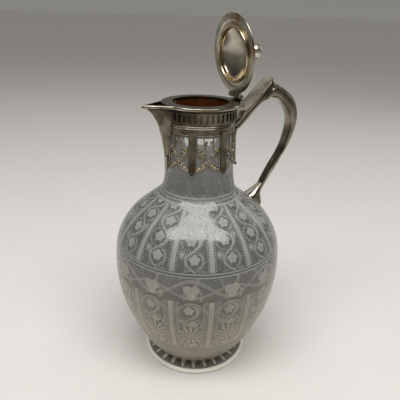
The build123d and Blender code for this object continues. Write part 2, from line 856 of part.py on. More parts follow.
drop_top = bar_point(0, bar_top + bar_depth)
bracket_height = bar_plane.origin.Z - bracket_hang
drop_root = (collar_radius - bracket_width, 0, bracket_height)
drop_outline = Spline(
    drop_top,
    (collar_radius + bracket_reach, 0, (drop_top[2] + bracket_height) / 2),
    (collar_radius - bracket_sink, 0, bracket_height),
) + Polyline(
    (collar_radius - bracket_sink, 0, bracket_height),
    drop_root,
    (drop_root[0], 0, drop_top[2]),
    drop_top,
)
handle_drop = plate_xz(drop_outline.edges(), bracket_width) - collar_core - handle_loop - plate_moulding

# --------------------------------------------------------------- named pieces
pieces = {
    "glass_body": glass_body,
    "glass_foot": glass_foot,
    "handle_peg": handle_peg,
    "neck_cement": neck_cement,
    "collar_sleeve": collar_sleeve,
    "fluted_band": fluted_band,
    "upper_wire": upper_wire,
    "lower_wire": lower_wire,
    "pierced_skirt": pierced_skirt,
    "gilt_liner": gilt_liner,
    "rim_flange": rim_flange,
    "spout_shell": spout_shell,
    "spout_keel": spout_keel,
    "spout_drop": spout_drop,
    "hinge_block": hinge_block,
    "hinge_pin": hinge_pin,
    "lid_plate": opened(lid_plate),
    "lid_dome": opened(lid_dome),
    "lid_bezel": opened(lid_bezel),
    "lid_leaf": opened(lid_leaf),
    "finial_collet": opened(finial_collet),
    "finial_ball": opened(finial_ball),
    "thumb_plate": thumb_plate,
    "plate_moulding": plate_moulding,
    "handle_loop": handle_loop,
    "handle_socket": handle_socket,
    "socket_plaster": socket_plaster,
    "handle_drop": handle_drop,
}
pieces.update(pilasters)

os.makedirs("parts", exist_ok=True)
for name, piece in pieces.items():
    solids = piece.solids()
    whole = solids[0] if len(solids) == 1 else Compound(children=solids)
    export_step(whole, f"parts/{name}.step")
    box = piece.bounding_box()
    print(f"{name:16s} {len(solids)} solid(s) z {box.min.Z:.1f} to {box.max.Z:.1f}")
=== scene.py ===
import json
import math

import bmesh
import bpy
from mathutils import Matrix, Vector


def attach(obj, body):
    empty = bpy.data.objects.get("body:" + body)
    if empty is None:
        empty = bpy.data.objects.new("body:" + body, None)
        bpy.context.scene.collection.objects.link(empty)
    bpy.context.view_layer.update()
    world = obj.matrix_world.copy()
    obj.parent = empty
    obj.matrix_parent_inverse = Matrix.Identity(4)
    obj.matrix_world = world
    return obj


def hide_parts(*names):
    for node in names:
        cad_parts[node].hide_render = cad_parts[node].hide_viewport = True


# Claret jug: an engraved glass body on a cut foot, with a silver collar, spout,
# handle and hinged domed lid. Metres, +Z up, handle on +X, spout on -X.
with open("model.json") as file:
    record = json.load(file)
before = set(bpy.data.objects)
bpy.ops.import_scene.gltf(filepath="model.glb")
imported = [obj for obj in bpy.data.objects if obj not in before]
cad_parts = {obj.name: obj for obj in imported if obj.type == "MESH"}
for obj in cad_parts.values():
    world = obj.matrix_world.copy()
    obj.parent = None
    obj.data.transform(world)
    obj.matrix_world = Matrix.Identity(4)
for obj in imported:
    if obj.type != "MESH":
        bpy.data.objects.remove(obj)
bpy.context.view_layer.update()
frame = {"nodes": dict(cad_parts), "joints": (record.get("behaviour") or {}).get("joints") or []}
nodes = frame["nodes"]

# ------------------------------------------------------------------ the studio
# A pale matt table in a grey room with a bright band high round its walls, under
# one wide softbox, two small ones behind and weak daylight. The camera has a 39 mm
# lens, stands a little above the jug's rim and looks from the spout's side.
camera_data = bpy.data.cameras.new("camera")
camera_data.sensor_width = 36
camera_data.lens = 39.33
camera_place = Vector((-0.14964, -0.28869, 0.27945))
camera_heading = math.radians(-27.638)
camera_tilt = math.radians(66.888)
camera_roll = math.radians(1.533)
camera = bpy.data.objects.new("camera", camera_data)
camera.matrix_world = (
    Matrix.Translation(camera_place)
    @ Matrix.Rotation(camera_heading, 4, "Z")
    @ Matrix.Rotation(camera_tilt, 4, "X")
    @ Matrix.Rotation(camera_roll, 4, "Z")
)
bpy.context.scene.collection.objects.link(camera)
bpy.context.scene.camera = camera
bpy.context.scene.view_settings.view_transform = "Standard"


def linear(code):
    """Linear RGBA of an sRGB hex colour."""
    parts = [int(code[i : i + 2], 16) / 255 for i in (1, 3, 5)]
    return [p / 12.92 if p <= 0.04045 else ((p + 0.055) / 1.055) ** 2.4 for p in parts] + [1.0]


def add(tree, kind, inputs=None, **settings):
    """A shader node with its settings, and its sockets set to values or linked to nodes.

    Sockets go by name, or by number where names repeat or are long: a colour mix has its
    share at 0 and its colours at 6 and 7, and a map range runs from 1 and 2 to 3 and 4.
    """
    made = tree.nodes.new(kind)
    for name, value in settings.items():
        setattr(made, name, value)
    for socket, value in (inputs or {}).items():
        if isinstance(value, bpy.types.Node):
            value = value.outputs[0]
        if isinstance(value, bpy.types.NodeSocket):
            tree.links.new(value, made.inputs[socket])
        else:
            made.inputs[socket].default_value = value
    return made


def new_material(name):
    """Empty node material and its tree."""
    material = bpy.data.materials.new(name)
    material.use_nodes = True
    material.node_tree.nodes.clear()
    return material, material.node_tree


def new_piece(name, shape, material, body="jug"):
    """Smooth-shaded object from a finished bmesh, with its material and body."""
    mesh = bpy.data.meshes.new(name)
    shape.to_mesh(mesh)
    shape.free()
    for face in mesh.polygons:
        face.use_smooth = True
    mesh.materials.append(material)
    piece = bpy.data.objects.new(name, mesh)
    bpy.context.scene.collection.objects.link(piece)
    if body:
        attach(piece, body)
    return piece


def dress(material, *names):
    """Give CAD nodes that are shown as they are their material."""
    for name in names:
        nodes[name].data.materials.clear()
        nodes[name].data.materials.append(material)


def mm_scale(size):
    """Noise scale whose blotches are about this many mm across."""
    return 1000 / size


# Matt emulsion paint mirrors nothing, so the table shows only a soft shadow.
table_reach = 60.0
table_paint, tree = new_material("matt_table_paint")
where = add(tree, "ShaderNodeTexCoord").outputs["Object"]
grain = add(tree, "ShaderNodeTexNoise", {"Vector": where, "Scale": mm_scale(25.0), "Detail": 4.0})
tone = add(tree, "ShaderNodeMix", {0: grain, 6: linear("#d3d1cd"), 7: linear("#cfcdc9")}, data_type="RGBA")
paint = add(tree, "ShaderNodeBsdfPrincipled", {"Base Color": tone.outputs[2], "Roughness": 0.9})
add(tree, "ShaderNodeOutputMaterial", {0: paint})
shape = bmesh.new()
bmesh.ops.create_grid(shape, x_segments=4, y_segments=4, size=table_reach)
table = new_piece("table_top", shape, table_paint, body=None)

# The room's grey by height, from the horizon at 0 to straight overhead at 1.
low_greys = [(0.02, "#86847f"), (0.35, "#565451")]
high_greys = [(0.7, "#3f3d3b"), (0.76, "#ebe8e1"), (0.86, "#ebe8e1"), (0.91, "#3f3d3b")]
world = bpy.data.worlds.new("studio_room")
world.use_nodes = True
tree = world.node_tree
tree.nodes.clear()
where = add(tree, "ShaderNodeTexCoord")
height = add(tree, "ShaderNodeSeparateXYZ", {0: where.outputs["Generated"]})
sky = add(tree, "ShaderNodeValToRGB", {0: height.outputs["Z"]})
for stop, (level, colour) in zip(sky.color_ramp.elements, low_greys):
    stop.position = level
    stop.color = linear(colour)
for level, colour in high_greys:
    sky.color_ramp.elements.new(level).color = linear(colour)
room = add(tree, "ShaderNodeBackground", {0: sky, 1: 1.0})
add(tree, "ShaderNodeOutputWorld", {0: room})
bpy.context.scene.world = world


def soft_light(name, place, aim, width, height, power):
    """Rectangular soft light. Place and aim are metres right of, beyond and above the jug's foot."""
    turn = Matrix.Rotation(camera_heading, 3, "Z")
    start, end = turn @ Vector(place), turn @ Vector(aim)
    lamp = bpy.data.lights.new(name, "AREA")
    lamp.shape = "RECTANGLE"
    lamp.size = width
    lamp.size_y = height
    lamp.energy = power
    light = bpy.data.objects.new(name, lamp)
    way = end - start
    light.matrix_world = Matrix.Translation(start) @ way.to_track_quat("-Z", "Y").to_matrix().to_4x4()
    bpy.context.scene.collection.objects.link(light)


soft_light("overhead_softbox", (0.0, -0.40, 1.15), (0.0, 0.0, 0.10), 1.50, 0.42, 17.0)
soft_light("back_softbox", (-0.75, 0.95, 1.05), (0.0, 0.0, 0.15), 0.80, 0.50, 0.8)
soft_light("back_strip", (0.90, 0.70, 0.60), (0.0, 0.0, 0.15), 0.25, 0.60, 0.8)
day = bpy.data.lights.new("even_daylight", "SUN")
day.energy = 0.26
day.angle = math.radians(80)
day_tilt = math.radians(-18)
daylight = bpy.data.objects.new("even_daylight", day)
daylight.matrix_world = Matrix.Rotation(camera_heading, 4, "Z") @ Matrix.Rotation(day_tilt, 4, "X")
bpy.context.scene.collection.objects.link(daylight)

# -------------------------------------------------------------------- glass body
# Blown glass, clear but tinted grey as painted shade, under a wheel-engraved skin: fourteen
# plain stripes between dotted lines, vine leaves between them, and a belt of crossing arches.
# The cuts are matt and scatter light, and the ground between them is half clear.
# Outlines as (radius, height) points in mm: the outside upwards, the hollow downwards.
foot_joint = 5.8
body_profile = [
    (30.4, foot_joint), (36.4, 9.0), (41.0, 12.4), (47.3, 22.0), (53.9, 35.0), (60.3, 50.0), (64.7, 65.0),
    (67.0, 80.0), (67.5, 92.0), (66.3, 108.0), (62.1, 120.0), (53.7, 132.0), (41.9, 142.0),
    (34.2, 148.1), (30.2, 152.4), (28.4, 156.0), (27.3, 162.0), (26.8, 168.0), (26.5, 173.0),
]
bore_profile = [
    (20.8, 206.9), (21.4, 199.0), (22.4, 173.0), (22.9, 166.0), (24.6, 159.0), (27.2, 152.4), (31.0, 147.3),
    (38.2, 141.3), (50.4, 131.1), (59.0, 119.2), (63.5, 107.2), (64.8, 92.0), (64.3, 80.3), (62.0, 65.6),
    (57.6, 50.8), (51.2, 36.0), (44.6, 24.0), (38.0, 18.0), (30.5, 14.6), (20.0, 13.3), (0.0, 13.3),
]
# The neck tapers under the skirt, and steps in above it for the plaster and the sleeve.
neck_step = [(25.45, 200.8), (24.8, 200.8), (24.8, 207.0)]
panel_count = 14
steps_per_panel = 12
stripe_phase = math.radians(-107.4)


def lathe(outline, steps):
    """Surface of revolution about Z from (radius, height) points in mm."""
    shape = bmesh.new()
    line = [shape.verts.new((radius / 1000, 0, height / 1000)) for radius, height in outline]
    edges = [shape.edges.new(pair) for pair in zip(line, line[1:])]
    bmesh.ops.spin(
        shape,
        geom=line + edges,
        cent=(0, 0, 0),
        axis=(0, 0, 1),
        angle=2 * math.pi,
        steps=steps,
        use_merge=True,
    )
    bmesh.ops.remove_doubles(shape, verts=shape.verts, dist=1e-6)
    bmesh.ops.recalc_face_normals(shape, faces=shape.faces)
    return shape


def smoothed(points, parts):
    """Rows of numbers refined with a Catmull-Rom curve, which passes through every row."""
    fine = []
    last = len(points) - 1
    for i in range(last):
        near = [points[max(0, min(last, i + k))] for k in (-1, 0, 1, 2)]
        for part in range(parts):
            t = part / parts
            weights = (
                (2 * t * t - t - t**3) / 2,
                (2 - 5 * t * t + 3 * t**3) / 2,
                (t + 4 * t * t - 3 * t**3) / 2,
                (t**3 - t * t) / 2,
            )
            columns = zip(*near)
            fine.append(tuple(sum(w * value for w, value in zip(weights, column)) for column in columns))
    return fine + [points[-1]]


outer_line = smoothed(body_profile, 5)
glass_outline = [(0.0, foot_joint)] + outer_line + neck_step + smoothed(bore_profile, 4)
shape = lathe(glass_outline, steps_per_panel * panel_count)
# Pairs of height and length along the outer curve, in mm.
run_table = [(foot_joint, 0.0)]
for (r0, z0), (r1, z1) in zip(outer_line, outer_line[1:]):
    run_table.append((z1, run_table[-1][1] + math.hypot(r1 - r0, z1 - z0)))


def run_at(height):
    """Length along the body's outer curve, in mm, from the foot to a height."""
    for (z0, s0), (z1, s1) in zip(run_table, run_table[1:]):
        if height <= z1:
            return s0 + (s1 - s0) * max(0.0, height - z0) / (z1 - z0)
    return run_table[-1][1] + height - run_table[-1][0]


def span(low, high):
    """Middle and half length, in mm along the body's curve, of a band between two heights."""
    return (run_at(low) + run_at(high)) / 2, (run_at(high) - run_at(low)) / 2


# The engraving's own map counts panels across and mm along the curve upwards. Two
# full turns are added, so that no count falls below zero. Only the outside is cut.
layout = shape.loops.layers.uv.new("engraving")
skin = shape.faces.layers.float.new("outside")
for face in shape.faces:
    middle = face.calc_center_median()
    centre = math.atan2(middle.y, middle.x)
    outward = face.normal.dot(Vector((middle.x, middle.y, 0))) > 0
    face[skin] = 1.0 if outward and middle.z * 1000 > foot_joint else 0.0
    for loop in face.loops:
        spot = loop.vert.co
        turn = math.atan2(spot.y, spot.x) if spot.xy.length > 1e-6 else centre
        turn -= 2 * math.pi * round((turn - centre) / (2 * math.pi))
        panels = (turn - stripe_phase) / (2 * math.pi) * panel_count
        loop[layout].uv = (panels + 2 * panel_count, run_at(spot.z * 1000))

# Soda-lime glass, blown and then cut by wheel: clear glass under frosted cuts.
engraved_glass, tree = new_material("engraved_blown_glass")
chart = add(tree, "ShaderNodeSeparateXYZ", {0: add(tree, "ShaderNodeUVMap", uv_map="engraving")})
where = add(tree, "ShaderNodeTexCoord").outputs["Object"]
level = add(tree, "ShaderNodeVectorMath", {0: where, 1: (1, 1, 0)}, operation="MULTIPLY")
reach = add(tree, "ShaderNodeVectorMath", {0: level}, operation="LENGTH")
cloud = add(
    tree, "ShaderNodeTexNoise", {"Vector": where, "Scale": mm_scale(11.11), "Detail": 5.0, "Roughness": 0.6}
)
marks = {
    "around": chart.outputs["X"],
    "along": chart.outputs["Y"],
    "reach": reach.outputs["Value"],
    "cloud": cloud.outputs[0],
}
lower_band = span(39.0, 89.5)
belt_band = span(90.5, 109.0)
upper_band = span(112.6, 148.6)
# Leaves stand this many mm apart up a panel, and their rows are counted from near the foot.
leaf_step = 13.4
leaf_start = run_at(113.0) - 8 * leaf_step + 1.2
# The flutes cut into the body's root continue those of the foot, which start at +X.
flute_count = 26
flute_phase = stripe_phase / (2 * math.pi) * flute_count - 0.5
# Each step of the engraving: its name, the sum it does, and what it works on. Lengths
# are in mm, "around" counts panels, and a mark is 1 where the wheel cuts and 0 elsewhere.
engraving = [
    # How wide a panel is at this height, and how far a point lies from its middle.
    ("wide", "MULTIPLY", "reach", 2000 * math.pi / panel_count),
    ("turns", "FRACT", "around"),
    ("local", "SUBTRACT", "turns", 0.5),
    ("across", "MULTIPLY", "local", "wide"),
    # Plain stripes part the panels, with a row of dots along each edge.
    ("edge_gap", "PINGPONG", "around", 0.5),
    ("upper_zone", "COMPARE", "along", *upper_band),
    ("lower_zone", "COMPARE", "along", *lower_band),
    ("belt_zone", "COMPARE", "along", *belt_band),
    ("striped_zone", "MAXIMUM", "upper_zone", "lower_zone"),
    ("stripe_line", "COMPARE", "edge_gap", 0.0, 0.064),
    ("stripe", "MULTIPLY", "stripe_line", "striped_zone"),
    ("dot_up", "PINGPONG", "along", 0.95),
    ("dot_side", "SUBTRACT", "edge_gap", 0.1),
    ("dot_across", "MULTIPLY", "dot_side", "wide"),
    ("dot_square", "MULTIPLY", "dot_across", "dot_across"),
    ("dot_far", "MULTIPLY_ADD", "dot_up", "dot_up", "dot_square"),
    ("dot", "LESS_THAN", "dot_far", 0.25),
    ("dots", "MULTIPLY", "dot", "striped_zone"),
    # A wavy stem climbs each panel, with a lobed leaf in every bend.
    ("climb", "SUBTRACT", "along", leaf_start),
    ("rows", "DIVIDE", "climb", leaf_step),
    ("row", "FLOOR", "rows"),
    ("row_turn", "MULTIPLY", "row", math.pi),
    ("side", "COSINE", "row_turn"),
    ("row_part", "FRACT", "rows"),
    ("row_middle", "SUBTRACT", "row_part", 0.5),
    ("up", "MULTIPLY", "row_middle", leaf_step),
    ("leaf_across", "MULTIPLY_ADD", "side", -1.5, "across"),
    ("leaf_square", "MULTIPLY", "leaf_across", "leaf_across"),
    ("leaf_squares", "MULTIPLY_ADD", "up", "up", "leaf_square"),
    ("leaf_far", "SQRT", "leaf_squares"),
    ("leaf_turn", "ARCTAN2", "leaf_across", "up"),
    ("lobe_turn", "MULTIPLY", "leaf_turn", 2.5),
    ("lobe_wave", "COSINE", "lobe_turn"),
    ("lobes", "ABSOLUTE", "lobe_wave"),
    ("lean", "COSINE", "leaf_turn"),
    ("leaf_round", "MULTIPLY_ADD", "lean", 0.8, 3.6),
    ("leaf_lobes", "MULTIPLY_ADD", "lobes", 0.7, "leaf_round"),
    ("vein_wave", "SINE", "lobe_turn"),
    ("notches", "ABSOLUTE", "vein_wave"),
    ("leaf_edge", "MULTIPLY_ADD", "notches", -0.7, "leaf_lobes"),
    ("leaf_body", "LESS_THAN", "leaf_far", "leaf_edge"),
    ("vein_gap", "MULTIPLY", "vein_wave", "leaf_far"),
    ("vein_line", "COMPARE", "vein_gap", 0.0, 0.14),
    ("vein_off", "SUBTRACT", 1.0, "vein_line"),
    ("leaf", "MULTIPLY", "leaf_body", "vein_off"),
    ("stem_rows", "SUBTRACT", "rows", 0.5),
    ("stem_turn", "MULTIPLY", "stem_rows", math.pi),
    ("stem_wave", "COSINE", "stem_turn"),
    ("stem_gap", "MULTIPLY_ADD", "stem_wave", 5.3, "across"),
    ("stem", "COMPARE", "stem_gap", 0.0, 0.42),
    ("stem_twin", "COMPARE", "stem_gap", 1.2, 0.22),
    # Curls and fronds ring each leaf, tendrils fill the ground, and buds hang off the stem.
    ("curl_ring", "COMPARE", "leaf_far", 5.8, 0.3),
    ("curl_turn", "SINE", "leaf_turn"),
    ("curl_part", "GREATER_THAN", "curl_turn", 0.45),
    ("curl", "MULTIPLY", "curl_ring", "curl_part"),
    ("frond_ring", "COMPARE", "leaf_far", 6.8, 0.7),
    ("frond_turn", "MULTIPLY", "leaf_turn", 22.0),
    ("frond_wave", "SINE", "frond_turn"),
    ("frond_part", "GREATER_THAN", "frond_wave", 0.4),
    ("fronds", "MULTIPLY", "frond_ring", "frond_part"),
    ("tendril_rise", "MULTIPLY", "rows", 3 * math.pi),
    ("tendril_wave", "SINE", "tendril_rise"),
    ("tendril_bend", "MULTIPLY_ADD", "tendril_wave", 1.3, "across"),
    ("tendril_gap", "PINGPONG", "tendril_bend", 2.1),
    ("tendril", "LESS_THAN", "tendril_gap", 0.2),
    ("tendril_room", "GREATER_THAN", "leaf_far", 4.6),
    ("tendrils", "MULTIPLY", "tendril", "tendril_room"),
    ("bud_across", "MULTIPLY_ADD", "side", 7.6, "across"),
    ("bud_square", "MULTIPLY", "bud_across", "bud_across"),
    ("bud_up", "SUBTRACT", "up", 4.0),
    ("bud_squares", "MULTIPLY_ADD", "bud_up", "bud_up", "bud_square"),
    ("bud", "LESS_THAN", "bud_squares", 2.6),
    ("bud_ring", "COMPARE", "bud_squares", 6.6, 1.3),
    ("buds", "MAXIMUM", "bud", "bud_ring"),
    ("stems", "MAXIMUM", "stem", "buds"),
    ("vine_stem", "MAXIMUM", "stems", "stem_twin"),
    ("vine_curl", "MAXIMUM", "curl", "fronds"),
    ("vine_lines", "MAXIMUM", "vine_stem", "vine_curl"),
    ("vine", "MAXIMUM", "vine_lines", "leaf"),
    ("panel_room", "GREATER_THAN", "edge_gap", 0.15),
    ("vine_zone", "MULTIPLY", "panel_room", "upper_zone"),
    ("upper_vine", "MULTIPLY", "vine", "vine_zone"),
    # The lower panels have round heads, ladder borders and a palmette each.
    ("across_square", "MULTIPLY", "across", "across"),
    ("head_line", "MULTIPLY_ADD", "across_square", -0.055, run_at(88.5)),
    ("head_gap", "SUBTRACT", "along", "head_line"),
    ("head_rim", "COMPARE", "head_gap", 0.0, 0.45),
    ("head_twin", "COMPARE", "head_gap", -1.7, 0.3),
    ("head", "MAXIMUM", "head_rim", "head_twin"),
    ("ladder_side", "COMPARE", "edge_gap", 0.17, 0.035),
    ("ladder_up", "PINGPONG", "along", 0.8),
    ("ladder_dash", "GREATER_THAN", "ladder_up", 0.42),
    ("ladder", "MULTIPLY", "ladder_side", "ladder_dash"),
    ("fan_up", "SUBTRACT", "along", run_at(55.0)),
    ("fan_square", "MULTIPLY_ADD", "fan_up", "fan_up", "across_square"),
    ("fan_far", "SQRT", "fan_square"),
    ("fan_turn", "ARCTAN2", "across", "fan_up"),
    ("fan_rays", "MULTIPLY", "fan_turn", 13.0),
    ("fan_wave", "COSINE", "fan_rays"),
    ("fan_tip", "MULTIPLY_ADD", "fan_wave", 1.6, 9.4),
    ("fan_inside", "LESS_THAN", "fan_far", "fan_tip"),
    ("fan_light", "GREATER_THAN", "fan_wave", -0.1),
    ("fan", "MULTIPLY", "fan_inside", "fan_light"),
    ("above_fan", "GREATER_THAN", "fan_far", 11.4),
    ("lower_leaves", "MULTIPLY", "vine", "above_fan"),
    ("below_head", "LESS_THAN", "head_gap", -2.2),
    ("lower_fill", "MULTIPLY", "lower_leaves", "below_head"),
    ("inner_room", "GREATER_THAN", "edge_gap", 0.21),
    ("lower_art", "MAXIMUM", "lower_fill", "fan"),
    ("lower_inner", "MULTIPLY", "lower_art", "inner_room"),
    ("lower_trim", "MAXIMUM", "ladder", "head"),
    ("lower_all", "MAXIMUM", "lower_inner", "lower_trim"),
    ("lower_vine", "MULTIPLY", "lower_all", "lower_zone"),
    # The belt: double-line arches over every second panel, crossed by swags.
    ("arch_start", "SUBTRACT", "around", 1.5),
    ("arch_run", "PINGPONG", "arch_start", 1.0),
    ("arch_turn", "MULTIPLY", "arch_run", math.pi),
    ("arch_wave", "COSINE", "arch_turn"),
    ("arch_line", "MULTIPLY_ADD", "arch_wave", 6.8, run_at(100.4)),
    ("arch_gap", "SUBTRACT", "along", "arch_line"),
    ("arch", "COMPARE", "arch_gap", 0.0, 0.4),
    ("arch_twin", "COMPARE", "arch_gap", -1.5, 0.35),
    ("swag_line", "MULTIPLY_ADD", "arch_wave", -4.6, run_at(96.6)),
    ("swag_gap", "SUBTRACT", "along", "swag_line"),
    ("swag", "COMPARE", "swag_gap", 0.0, 0.32),
    ("swag_twin", "COMPARE", "swag_gap", 1.3, 0.26),
    ("arches", "MAXIMUM", "arch", "arch_twin"),
    ("swags", "MAXIMUM", "swag", "swag_twin"),
    ("bows", "MAXIMUM", "arches", "swags"),
    # A lobed leaf like a shield hangs in the middle of each panel's part of the belt.
    ("shield_up", "SUBTRACT", "along", run_at(98.0)),
    ("shield_square", "MULTIPLY_ADD", "shield_up", "shield_up", "across_square"),
    ("shield_far", "SQRT", "shield_square"),
    ("shield_turn", "ARCTAN2", "across", "shield_up"),
    ("shield_lobes", "MULTIPLY", "shield_turn", 1.5),
    ("shield_wave", "SINE", "shield_lobes"),
    ("shield_points", "ABSOLUTE", "shield_wave"),
    ("shield_edge", "MULTIPLY_ADD", "shield_points", 2.4, 3.9),
    ("shield", "LESS_THAN", "shield_far", "shield_edge"),
    ("belt_art", "MAXIMUM", "vine_curl", "bows"),
    ("belt_all", "MAXIMUM", "belt_art", "shield"),
    ("belt", "MULTIPLY", "belt_all", "belt_zone"),
    # Plain rings bound the belt and the neck, with a row of beads between the neck's two.
    ("girdle_top", "COMPARE", "along", *span(111.0, 112.0)),
    ("girdle_foot", "COMPARE", "along", *span(108.8, 109.7)),
    ("neck_ring", "COMPARE", "along", *span(148.8, 150.0)),
    ("neck_line", "COMPARE", "along", *span(153.6, 154.4)),
    ("girdles", "MAXIMUM", "girdle_top", "girdle_foot"),
    ("neck_rings", "MAXIMUM", "neck_ring", "neck_line"),
    ("rings", "MAXIMUM", "girdles", "neck_rings"),
    ("bead_turns", "MULTIPLY", "around", 7.0),
    ("bead_side", "PINGPONG", "bead_turns", 0.5),
    ("bead_level", "SUBTRACT", "along", run_at(151.8)),
    ("bead_up", "MULTIPLY", "bead_level", 0.55),
    ("bead_square", "MULTIPLY", "bead_side", "bead_side"),
    ("bead_far", "MULTIPLY_ADD", "bead_up", "bead_up", "bead_square"),
    ("beads", "LESS_THAN", "bead_far", 0.11),
    ("neck_art", "MAXIMUM", "rings", "beads"),
    # The foot's cut flutes start on the body's root, under a wreath of small leaves.
    ("flute_turns", "MULTIPLY_ADD", "around", flute_count / panel_count, flute_phase),
    ("flute_side", "PINGPONG", "flute_turns", 0.5),
    ("flute_bright", "LESS_THAN", "flute_side", 0.33),
    ("flute_zone", "LESS_THAN", "along", run_at(12.0)),
    ("flutes", "MULTIPLY", "flute_bright", "flute_zone"),
    ("wreath_turns", "MULTIPLY", "around", 5.0),
    ("wreath_side", "PINGPONG", "wreath_turns", 0.5),
    ("wreath_width", "MULTIPLY", "wreath_side", 5.2),
    ("wreath_level", "SUBTRACT", "along", run_at(30.0)),
    ("wreath_up", "PINGPONG", "wreath_level", 6.5),
    ("wreath_slant", "MULTIPLY_ADD", "wreath_up", 0.55, "wreath_width"),
    ("wreath_leaf", "COMPARE", "wreath_slant", 2.3, 0.85),
    ("wreath_zone", "COMPARE", "along", *span(20.0, 36.5)),
    ("wreath", "MULTIPLY", "wreath_leaf", "wreath_zone"),
    ("low_ring", "COMPARE", "along", *span(37.4, 38.4)),
    ("root_cut", "MAXIMUM", "flutes", "low_ring"),
    # All the deep cuts together.
    ("border_cut", "MAXIMUM", "stripe", "dots"),
    ("vine_cut", "MAXIMUM", "upper_vine", "lower_vine"),
    ("panel_cut", "MAXIMUM", "border_cut", "vine_cut"),
    ("wall_cut", "MAXIMUM", "panel_cut", "belt"),
    ("upper_cut", "MAXIMUM", "wall_cut", "neck_art"),
    ("cut", "MAXIMUM", "upper_cut", "root_cut"),
    # Fine hatching fills the ground between them.
    ("hatch_turns", "MULTIPLY", "around", 34.0),
    ("hatch_part", "FRACT", "hatch_turns"),
    ("hatch_line", "LESS_THAN", "hatch_part", 0.42),
    ("carved_zone", "MAXIMUM", "striped_zone", "belt_zone"),
    ("hatch", "MULTIPLY", "hatch_line", "carved_zone"),
    ("neck", "GREATER_THAN", "along", run_at(149.8)),
    # How frosted each kind of mark is, from 0 for clear glass to 1 for fully matt.
    ("cut_tone", "MULTIPLY", "cut", 0.72),
    ("wreath_tone", "MULTIPLY", "wreath", 0.42),
    ("tendril_tone", "MULTIPLY", "tendrils", 0.42),
    ("tendril_cut", "MULTIPLY", "tendril_tone", "carved_zone"),
    ("neck_curl", "MULTIPLY", "vine_curl", 0.55),
    ("neck_curls", "MULTIPLY", "neck_curl", "neck"),
    ("neck_low", "LESS_THAN", "along", run_at(166.0)),
    ("neck_scroll", "MULTIPLY", "neck_curls", "neck_low"),
    ("scroll_tone", "MAXIMUM", "tendril_cut", "neck_scroll"),
    ("fine_tone", "MAXIMUM", "scroll_tone", "wreath_tone"),
    ("hatch_tone", "MULTIPLY", "hatch", 0.3),
    ("neck_tone", "MULTIPLY", "neck", 0.28),
    # The ground is frosted, and more and more from the belt down to the foot: painted light, for the lower
    # wall lit from inside by light through the shoulder.
    ("low_part", "DIVIDE", "along", run_at(112.0)),
    ("ground_frost_and_painted_light", "MULTIPLY_ADD", "low_part", -0.32, 0.42),
    ("ground_tone_and_painted_light", "MAXIMUM", "ground_frost_and_painted_light", 0.1),
    ("plain_foot", "LESS_THAN", "along", run_at(38.5)),
    ("foot_tone", "MULTIPLY", "plain_foot", 0.3),
    ("line_tone", "MAXIMUM", "cut_tone", "fine_tone"),
    ("wall_tone", "MAXIMUM", "line_tone", "hatch_tone"),
    ("upper_tone", "MAXIMUM", "wall_tone", "neck_tone"),
    ("body_tone", "MAXIMUM", "upper_tone", "foot_tone"),
    ("full_tone", "MAXIMUM", "body_tone", "ground_tone_and_painted_light"),
    ("wear", "MULTIPLY_ADD", "cloud", 0.5, 0.75),
    ("matt", "MULTIPLY", "full_tone", "wear"),
]
for name, operation, *inputs in engraving:
    sockets = {index: marks.get(value, value) for index, value in enumerate(inputs)}
    marks[name] = add(tree, "ShaderNodeMath", sockets, operation=operation).outputs[0]
outside = add(tree, "ShaderNodeAttribute", attribute_name="outside").outputs["Fac"]
matt = add(tree, "ShaderNodeMath", {0: marks["matt"], 1: outside}, operation="MULTIPLY")
relief = add(
    tree, "ShaderNodeBump", {"Height": marks["cut"], "Strength": 0.25, "Distance": 0.0002}, invert=True
)
# Painted light: the cuts turn paler and warmer towards the foot, for the lower wall lit from inside by
# light through the shoulder.
painted_low_light = add(tree, "ShaderNodeMapRange", {0: marks["along"], 1: run_at(40), 2: run_at(112)})
cut_colour_and_low_light = add(
    tree, "ShaderNodeMix", {0: painted_low_light, 6: linear("#d4c8ae"), 7: linear("#a8a7a4")}, data_type="RGBA"
)
# Painted shade: the clear glass is tinted grey for dark surroundings seen through it.
clear = add(
    tree,
    "ShaderNodeBsdfPrincipled",
    {
        "Base Color": linear("#a3a3a1"),
        "Roughness": 0.05,
        "IOR": 1.5,
        "Transmission Weight": 1.0,
        "Normal": relief,
    },
)
frosted = add(
    tree,
    "ShaderNodeBsdfPrincipled",
    {
        "Base Color": cut_colour_and_low_light.outputs[2],
        "Roughness": 0.55,
        "IOR": 1.5,
        "Transmission Weight": 0.2,
        "Normal": relief,
    },
)
glass_skin = add(tree, "ShaderNodeMixShader", {0: matt, 1: clear, 2: frosted})
add(tree, "ShaderNodeOutputMaterial", {0: glass_skin})
glass_body = new_piece("blown_body", shape, engraved_glass)
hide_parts("glass_body")

# -------------------------------------------------------------------- glass foot
# Pressed from the same glass and cut: a ring of short hollow flutes round the
# stem on top, a star below, and a thick polished edge with a painted highlight.
# Outline from the resting ring up to the body, as (radius, height) points in mm.
foot_line = [
    (43.0, 0.0), (44.1, 0.5), (44.6, 1.7), (44.3, 2.9), (43.4, 3.7), (42.2, 3.9),
    (41.4, 4.0), (39.5, 4.3), (37.0, 4.75), (34.0, 5.25), (31.0, 5.78), (0.0, foot_joint),
]
steps_per_flute = 14
flute_start, flute_end = 30.6, 41.0
flute_floor = 4.1
flute_depth = 1.1
flute_width = 0.85
star_radii = [0.0, 6.0, 12.0, 18.0, 24.0, 30.0, 36.0]
star_start, star_end = 5.0, 25.0
star_count = 16
star_depth = 0.4
underside_top = 0.3
# How much pale bloom the foot shows: some all over as frost, and more on its rim and on one wall of each
# flute as painted highlights.
plain_frost = 0.22
rim_painted_highlight = 0.75
rim_start = 41.8
flute_wall_painted_highlight = 1.1
